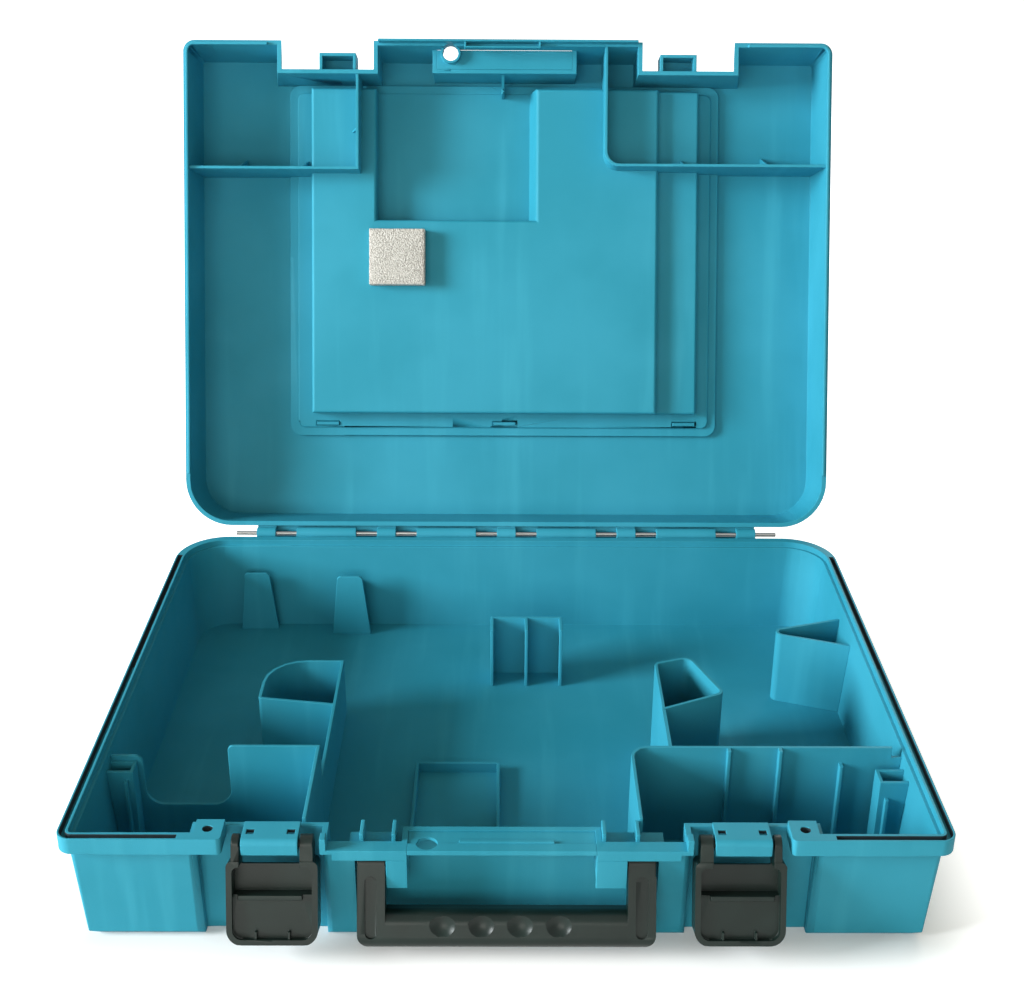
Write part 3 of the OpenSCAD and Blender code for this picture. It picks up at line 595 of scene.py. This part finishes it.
# %% Run the rim over the bosses
BOSS_IN, BOSS_OUT = 145.6, 160.3
BOSS_FRONT, RIM_FRONT = -171.0, -172.0
RIM_LOW = 61.0
SLACK = 0.1


def level_bosses(piece):
    alone(piece)
    bpy.ops.object.mode_set(mode="EDIT")
    bpy.ops.mesh.select_mode(type="VERT")
    bpy.ops.mesh.select_all(action="DESELECT")
    mesh = bmesh.from_edit_mesh(piece.data)
    moved = 0
    for vertex in mesh.verts:
        place = vertex.co / MM
        on_boss = BOSS_IN - SLACK < abs(place.x) < BOSS_OUT + SLACK and place.z > RIM_LOW - SLACK
        if near(place.y, BOSS_FRONT, SLACK) and on_boss:
            vertex.select_set(True)
            moved += 1
    mesh.select_flush_mode()
    bmesh.update_edit_mesh(piece.data)
    bpy.ops.transform.translate(value=(0, (RIM_FRONT - BOSS_FRONT) * MM, 0))
    bpy.ops.mesh.select_all(action="SELECT")
    bpy.ops.mesh.remove_doubles(threshold=SAME_POINT * MM)
    bpy.ops.object.mode_set(mode="OBJECT")
    return moved


print("boss corners moved:", level_bosses(MOULDED["base_shell"]))

# %% Round the free corners
INSIDE_TOP = 69.0
DIVIDER_CORNER = (156.0, INSIDE_TOP)
POST_CORNER = (204.0, INSIDE_TOP - 6.5)
BOSS_RADIUS, DIVIDER_RADIUS, POST_RADIUS = 2.5, 3.0, 5.0


def at_corner(axes, targets):
    """A test for edges whose two ends both lie at the given place along two axes, on either side."""
    def test(edge):
        ends = [vertex.co / MM for vertex in edge.verts]
        pairs = [(end[axis], target) for end in ends for axis, target in zip(axes, targets)]
        return all(near(abs(value), abs(target), SLACK) for value, target in pairs)
    return test


boss_corner = at_corner((0, 1), (BOSS_IN, RIM_FRONT))
print("boss corners:", round_edges(MOULDED["base_shell"], boss_corner, BOSS_RADIUS))
divider_corner = at_corner((0, 2), DIVIDER_CORNER)
print("divider corner:", round_edges(MOULDED["left_cradle"], divider_corner, DIVIDER_RADIUS))
post_corner = at_corner((0, 2), POST_CORNER)
print("post corner:", round_edges(MOULDED["left_cradle"], post_corner, POST_RADIUS))

# %% [markdown]
# ## A small radius that gives way
# The Bevel modifier takes one width, but a case has places where that width has no room, such as
# the end of a thin rib. Without a limit the bevel folds faces over there or throws a corner out.
# Its own clamp would shrink the radius of the whole piece. Here every edge gets a weight instead.
# The bevelled mesh is compared with the piece's first skin, the weights near each bad place are
# halved, and the bevel is made again, up to eight times. A piece that was reshaped by hand is
# also counted as thrown out where it left that skin on purpose.

# %% Find where a bevel went wrong
NEAR_SKIN = 0.3 * MM
FURTHEST = 1.1 * MM
OUTSIDE = 0.1 * MM
OUTWARD = 0.05 * MM
FACING_BACK = -0.3
SPECK_AREA = 0.001 * MM * MM
REACH = 1.5


def turned_places(piece, skin, radius):
    """Places, with a reach, where a bevel has folded a face over, and where it threw a corner out."""
    folded, thrown = [], []
    for face in piece.data.polygons:
        place, normal, *rest = skin.find_nearest(face.center, NEAR_SKIN)
        if place is not None and normal.dot(face.normal) < FACING_BACK and face.area > SPECK_AREA:
            folded.append((face.center.copy(), REACH * radius * MM))
    for vertex in piece.data.vertices:
        place, normal, index, distance = skin.find_nearest(vertex.co)
        outside = (vertex.co - place).dot(normal) > OUTWARD
        if distance > FURTHEST or (outside and distance > OUTSIDE):
            thrown.append((vertex.co.copy(), REACH * radius * MM + distance))
    return folded, thrown


# %% Round the sharp edges by their weights
SHARP = math.radians(34.0)
EDGE_SIDES = 2


def distance_to_edge(point, ends):
    along = ends[1] - ends[0]
    part = max(0.0, min(1.0, (point - ends[0]).dot(along) / along.length_squared))
    return (ends[0] + along * part - point).length


def sharp_edges(mesh):
    """The two ends of every edge that is sharp enough to be rounded."""
    clean = bmesh.new()
    clean.from_mesh(mesh)
    found = {edge.index: [v.co.copy() for v in edge.verts] for edge in clean.edges
             if edge.is_manifold and edge.calc_face_angle(0) > SHARP and edge.calc_length() > 0}
    clean.free()
    return found


def bevelled(piece, mesh, weights, radius):
    """Give the piece a new copy of the mesh with the weighted edges rounded."""
    piece.data = mesh.copy()
    share = piece.data.attributes.new("bevel_weight_edge", "FLOAT", "EDGE")
    for index, weight in weights.items():
        share.data[index].value = weight
    bevel = piece.modifiers.new("edge_radius", "BEVEL")
    bevel.width = radius * MM
    bevel.segments = EDGE_SIDES
    bevel.limit_method = "WEIGHT"
    bevel.use_clamp_overlap = False
    alone(piece)
    bpy.ops.object.modifier_apply(modifier=bevel.name)


# %% Soften one piece
SMOOTH = math.radians(38.0)
TRIES = 8
LAST_TRIES = 2


def soften(piece, name, radius):
    """Round the sharp edges of a piece, and shade its flat faces flat and its rounded edges smooth."""
    mesh = piece.data
    cad = NODES[name].data
    skin = BVHTree.FromPolygons([v.co for v in cad.vertices], [p.vertices for p in cad.polygons])
    sharp = sharp_edges(mesh)
    weights = {index: 1.0 for index in sharp}
    for attempt in range(TRIES):
        bevelled(piece, mesh, weights, radius)
        folded, thrown = turned_places(piece, skin, radius)
        if not folded and not thrown:
            break
        turned = folded + [(place, reach * (1 + attempt)) for place, reach in thrown]
        less = 0.5 if attempt < TRIES - LAST_TRIES else 0.0
        for index, ends in sharp.items():
            if any(distance_to_edge(point, ends) < reach for point, reach in turned):
                weights[index] *= less
    if folded or thrown:
        print(name, "still has", len(folded), "folded and", len(thrown), "thrown places")
    bpy.ops.object.shade_smooth_by_angle(angle=SMOOTH)
    level = piece.modifiers.new("flat_faces", "WEIGHTED_NORMAL")
    level.keep_sharp = True
    bpy.ops.object.modifier_apply(modifier=level.name)


# %% Soften every piece
THIN_WALL_RADIUS = 0.35
RADIUS = {
    "base_shell": 0.35,
    "lid_shell": 0.6,
    "lid_block": 0.6,
    "lid_outer_panel": 0.5,
    "handle": 0.9,
    "latch_left": 0.6,
    "latch_right": 0.6,
    "hinge_pin": 0.3,
    "latch_bracket_left": 0.3,
    "latch_bracket_right": 0.3,
    "keeper_loop_left": 0.4,
    "keeper_loop_right": 0.4,
}


def stand_in(piece, name):
    """The piece takes the place of the CAD piece, on its body and in its finish."""
    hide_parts(name)
    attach(piece, BODY_OF[name])
    finish_with(piece, BY_SLOT[SLOT_OF[name]])


for name, piece in MOULDED.items():
    soften(piece, name, RADIUS.get(name, THIN_WALL_RADIUS))
    stand_in(piece, name)
print("moulded faces:", sum(len(p.data.polygons) for p in MOULDED.values()))

# %% [markdown]
# ## The dark line in the rim
# A groove three millimetres wide runs round the rim of the base and takes the lid's tongue. Little
# light gets into it, and its shade is painted: the faces that look into the groove are found by
# their place and take a second, darker material of painted shade. So do the walls of the small
# holes in the bosses and the latch brackets, whose shade is painted in the same way.

# %% Which faces lie in the groove
GROOVE_LOW, GROOVE_HIGH = 66.5, 70.4
GROOVE_IN, GROOVE_OUT = 1.2, 4.2
GROOVE_SLACK = 0.3
CASE_HALF = Vector((230.0, 172.0))
FRONT_CORNER, REAR_CORNER = 8.0, 33.0


def inside_rim(place):
    """How far a point lies inside the outline of the rim, in millimetres."""
    corner = FRONT_CORNER if place.y < 0 else REAR_CORNER
    beyond = Vector((abs(place.x), abs(place.y))) - CASE_HALF + Vector((corner, corner))
    if min(beyond) > 0:
        return corner - beyond.length
    return corner - max(beyond)


def groove_face(face):
    place = face.center / MM
    depth = inside_rim(place)
    in_height = GROOVE_LOW - GROOVE_SLACK < place.z < GROOVE_HIGH
    return in_height and GROOVE_IN - GROOVE_SLACK < depth < GROOVE_OUT + GROOVE_SLACK


# %% Which faces lie in a hole
BOSS_HOLE_X, BOSS_HOLE_Y = 153.5, -163.0
BOSS_HOLE_REACH = 2.9
BELOW_TOP = 0.4
BRACKET_MIDDLE = 121.0
BRACKET_HOLE = (10.5, -163.5, 67.9)
BRACKET_HOLE_REACH = (2.3, 2.1, 1.1)


def boss_hole_face(face):
    place = face.center / MM
    from_hole = math.hypot(abs(place.x) - BOSS_HOLE_X, place.y - BOSS_HOLE_Y)
    return from_hole < BOSS_HOLE_REACH and RIM_LOW < place.z < GROOVE_HIGH - BELOW_TOP


def bracket_hole_face(face):
    place = face.center / MM
    across = abs(abs(place.x) - BRACKET_MIDDLE)
    measures = zip((across, place.y, place.z), BRACKET_HOLE, BRACKET_HOLE_REACH)
    return all(near(*measure) for measure in measures)


def base_dark_face(face):
    return groove_face(face) or boss_hole_face(face)


# %% Paint shade into the groove and the holes
# Painted shade: these dark colours stand in for the shadow in the groove and the holes, varied in patches.
GROOVE_SHADE_DARK = linear(6, 20, 26)
GROOVE_SHADE_PALE = linear(22, 48, 56)
GROOVE_SHADE_SCALE = 240.0


def groove_shade():
    finish = Finish("groove_shade")
    shade_patches = finish.noise(GROOVE_SHADE_SCALE, 4.0)
    finish.set(Base_Color=finish.mixed(shade_patches, GROOVE_SHADE_DARK, GROOVE_SHADE_PALE), Roughness=0.6 + shade_patches * 0.2)
    return finish.material


GROOVE_FINISH = groove_shade()


def shade_faces(name, test):
    mesh = MOULDED[name].data
    mesh.materials.append(GROOVE_FINISH)
    chosen = [face for face in mesh.polygons if test(face)]
    for face in chosen:
        face.material_index = 1
    print(name, "shaded faces:", len(chosen))


shade_faces("base_shell", base_dark_face)
shade_faces("latch_bracket_left", bracket_hole_face)
shade_faces("latch_bracket_right", bracket_hole_face)

# %% [markdown]
# ## Foam pad
# A small square of open-cell foam is glued to the block, where it presses on the tool. It is cut
# from a sheet, so its edges are nearly square, but the soft face bulges a little and the cut cells
# leave a pitted skin. A cube is subdivided finely, swollen towards its middle, and then displaced
# by a cell texture. It is made on the closed case, where it lies level, and turned open with the
# lid at the end.

# %% Swell and pit the foam
FOAM_CUTS = 30
FOAM_EDGE = 0.6
FOAM_EDGE_SIDES = 2
FOAM_CROWN = 0.7
FOAM_SQUARENESS = 4
FOAM_CELL = 1.1
FOAM_PITS = 0.35


def foam_block():
    low, high = closed_box("foam_pad")
    middle = (low + high) / 2
    size = high - low
    bpy.ops.object.select_all(action="DESELECT")
    bpy.ops.mesh.primitive_cube_add(size=1, location=middle * MM, scale=size * MM)
    pad = bpy.context.object
    pad.name = "foam_cushion"
    bpy.ops.object.transform_apply(location=True, rotation=True, scale=True)
    bpy.ops.object.mode_set(mode="EDIT")
    bpy.ops.mesh.select_all(action="SELECT")
    bpy.ops.mesh.bevel(offset=FOAM_EDGE * MM, segments=FOAM_EDGE_SIDES, affect="EDGES")
    bpy.ops.mesh.subdivide(number_cuts=FOAM_CUTS)
    bpy.ops.object.mode_set(mode="OBJECT")
    for vertex in pad.data.vertices:
        at = vertex.co / MM - middle
        across = 2 * at.x / size.x
        along = 2 * at.y / size.y
        bulge = FOAM_CROWN * (1 - across ** FOAM_SQUARENESS) * (1 - along ** FOAM_SQUARENESS)
        if at.z < 0:
            vertex.co.z -= (bulge - FOAM_CROWN / 2) * MM
    cells = bpy.data.textures.new("foam_cells", "VORONOI")
    cells.noise_scale = FOAM_CELL * MM
    pits = pad.modifiers.new("pits", "DISPLACE")
    pits.texture = cells
    pits.strength = FOAM_PITS * MM
    pits.mid_level = 0.5
    alone(pad)
    bpy.ops.object.modifier_apply(modifier=pits.name)
    pad.data.transform(OPENING)
    bpy.ops.object.shade_smooth()
    stand_in(pad, "foam_pad")
    return pad


foam = foam_block()
print("foam faces:", len(foam.data.polygons))

# %% [markdown]
# ## Floor and background
# The case stands on a white table. For the rays that show it, the table also glows, and the glow
# grows from almost nothing under the case to full white a hand's width away. So the table takes
# the case's soft shadow, adds a painted grey halo of shadow close round the case even where the
# lamps light it, and still reaches the white of the background. The rays that carry light
# don't see the glow, so it adds no light to the case.

# %% Floor
FLOOR_HALF = 6.0
FLOOR_GREY = (0.80, 0.80, 0.80, 1.0)
BLACK = (0.0, 0.0, 0.0, 1.0)
WHITE = (1.0, 1.0, 1.0, 1.0)
CASE_OUTLINE = (0.22, 0.165, 0)
# Painted shadow: the glow next to the case is kept this low, so a grey halo shows there.
GLOW_IN_PAINTED_HALO = 0.05
GLOW_STARTS, GLOW_FULL = -0.02, 0.085


def away_from_case(finish):
    """How far a point of the floor lies outside the case's outline."""
    beside = finish.vector("ABSOLUTE", finish.place)
    outside = finish.vector("MAXIMUM", finish.vector("SUBTRACT", beside, CASE_OUTLINE), (0, 0, 0))
    return finish.vector("LENGTH", outside, output="Value")


def white_floor():
    bpy.ops.object.select_all(action="DESELECT")
    bpy.ops.mesh.primitive_plane_add(size=2 * FLOOR_HALF, location=(0, 0, 0))
    floor = bpy.context.object
    floor.name = "studio_floor"
    finish = Finish("floor_white")
    finish.set(Base_Color=FLOOR_GREY, Roughness=0.9)
    glow = finish.seen() * (GLOW_IN_PAINTED_HALO + away_from_case(finish).ramp(GLOW_STARTS, GLOW_FULL) * (1 - GLOW_IN_PAINTED_HALO))
    finish.set(Emission_Strength=1.0, Emission_Color=finish.mixed(glow, BLACK, WHITE))
    finish_with(floor, finish.material)
    return floor


print("floor:", round(white_floor().dimensions.x, 1), "m wide")

# %% [markdown]
# ## World and lamps
# The world is plain white for the rays that show it. The rays that carry light find it dim and
# warm, which fills the shadows of the teal plastic without turning them blue. A square lamp on
# the left, like a window, gives the shadows their direction. A weaker one in front lights the
# front wall, and one behind keeps the back of the case readable.

# %% The world
AMBIENT = (1.0, 0.93, 0.70)
AMBIENT_STRENGTH = 0.28


def white_world():
    world = bpy.data.worlds.new("studio_world")
    bpy.context.scene.world = world
    sky = Network(world)
    dim = [part * AMBIENT_STRENGTH for part in AMBIENT] + [1.0]
    sky.link(sky.mixed(sky.seen(), dim, WHITE), sky.tree.nodes["Background"].inputs["Color"])
    return len(sky.tree.nodes)


print("world nodes:", white_world())

# %% Lamps
DAYLIGHT = (0.92, 0.98, 1.0)
ROOM_LIGHT = (1.0, 0.98, 0.91)


def area_lamp(name, place, aim, size, power, colour):
    data = bpy.data.lights.new(name, "AREA")
    data.shape = "RECTANGLE"
    data.size, data.size_y = size
    data.energy = power
    data.color = colour
    lamp = bpy.data.objects.new(name, data)
    bpy.context.scene.collection.objects.link(lamp)
    direction = Vector(aim) - Vector(place)
    lamp.matrix_world = Matrix.Translation(place) @ direction.to_track_quat("-Z", "Y").to_matrix().to_4x4()
    print(name, "stands", round(direction.length, 2), "m away")


area_lamp("window_left", place=(-2.6, -0.79, 0.99), aim=(0, 0.05, 0.15), size=(1.0, 1.0), power=146.0,
          colour=DAYLIGHT)
area_lamp("fill_front", place=(-0.5, -2.3, 0.75), aim=(0, 0, 0.15), size=(1.4, 1.0), power=20.0,
          colour=ROOM_LIGHT)
area_lamp("fill_back", place=(0.9, 2.3, 1.2), aim=(0, 0.1, 0.15), size=(1.4, 1.0), power=26.0,
          colour=ROOM_LIGHT)
bpy.context.scene.view_settings.view_transform = "Standard"
